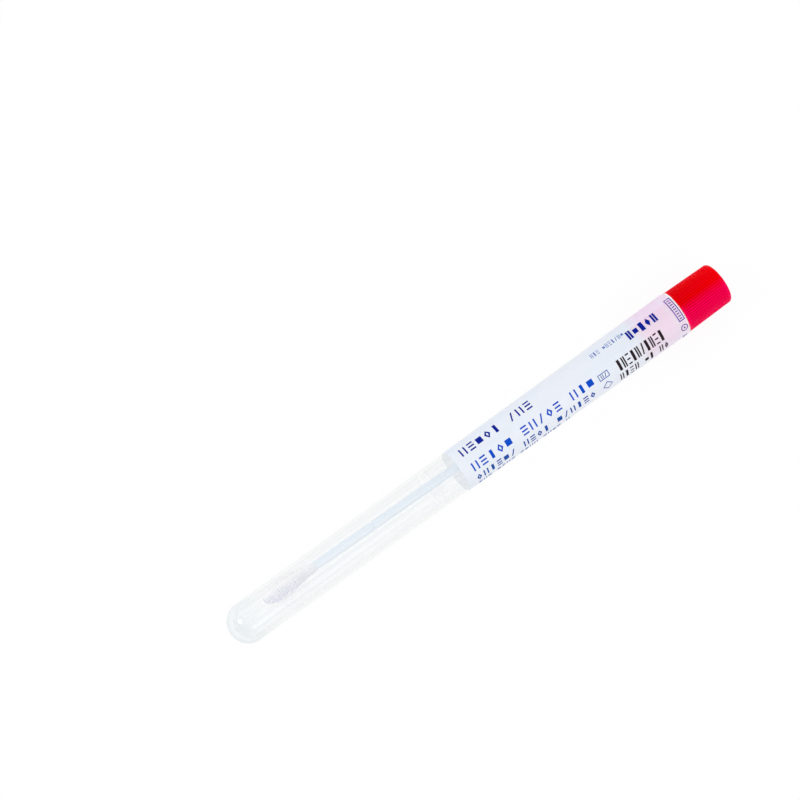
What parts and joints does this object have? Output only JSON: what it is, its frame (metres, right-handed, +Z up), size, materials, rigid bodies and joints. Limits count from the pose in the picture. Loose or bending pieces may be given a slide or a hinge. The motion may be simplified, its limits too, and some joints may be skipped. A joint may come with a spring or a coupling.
{
  "type": "specimen swab tube",
  "caption": "Clear round-bottomed transport tube with a wrapped label and a ribbed push-in cap that carries a swab stick with a wound bud.",
  "frame": {"origin": "centre of the bottom of the bounding box, on the surface that the tube lies on", "axes": "+Z up; +X towards the cap, along the lying tube; the tube's own axis leans up from +X by 0.3 degrees, because the wall narrows towards the round bottom, and the tube lies on the label's upper end and on the round bottom"},
  "size_m": [0.1648, 0.013, 0.013],
  "materials": {
    "tube_plastic": "clear, slightly milky polypropylene, smooth",
    "label_film": "thin pale label film with a satin face",
    "cap_plastic": "red moulded plastic, satin gloss",
    "stick_plastic": "pale blue-white moulded rod",
    "bud_fibre": "white wound fibre"
  },
  "bodies": {
    "tube_body": {"tube": "tube_plastic", "label": "label_film"},
    "swab": {"cap": "cap_plastic", "swab_stick": "stick_plastic", "swab_bud": "bud_fibre"}
  },
  "joints": [
    {"name": "swab_pull", "type": "slide", "parent": "tube_body", "child": "swab", "axis": [1, 0, 0.0052], "range_m": [0, 0.145]}
  ]
}
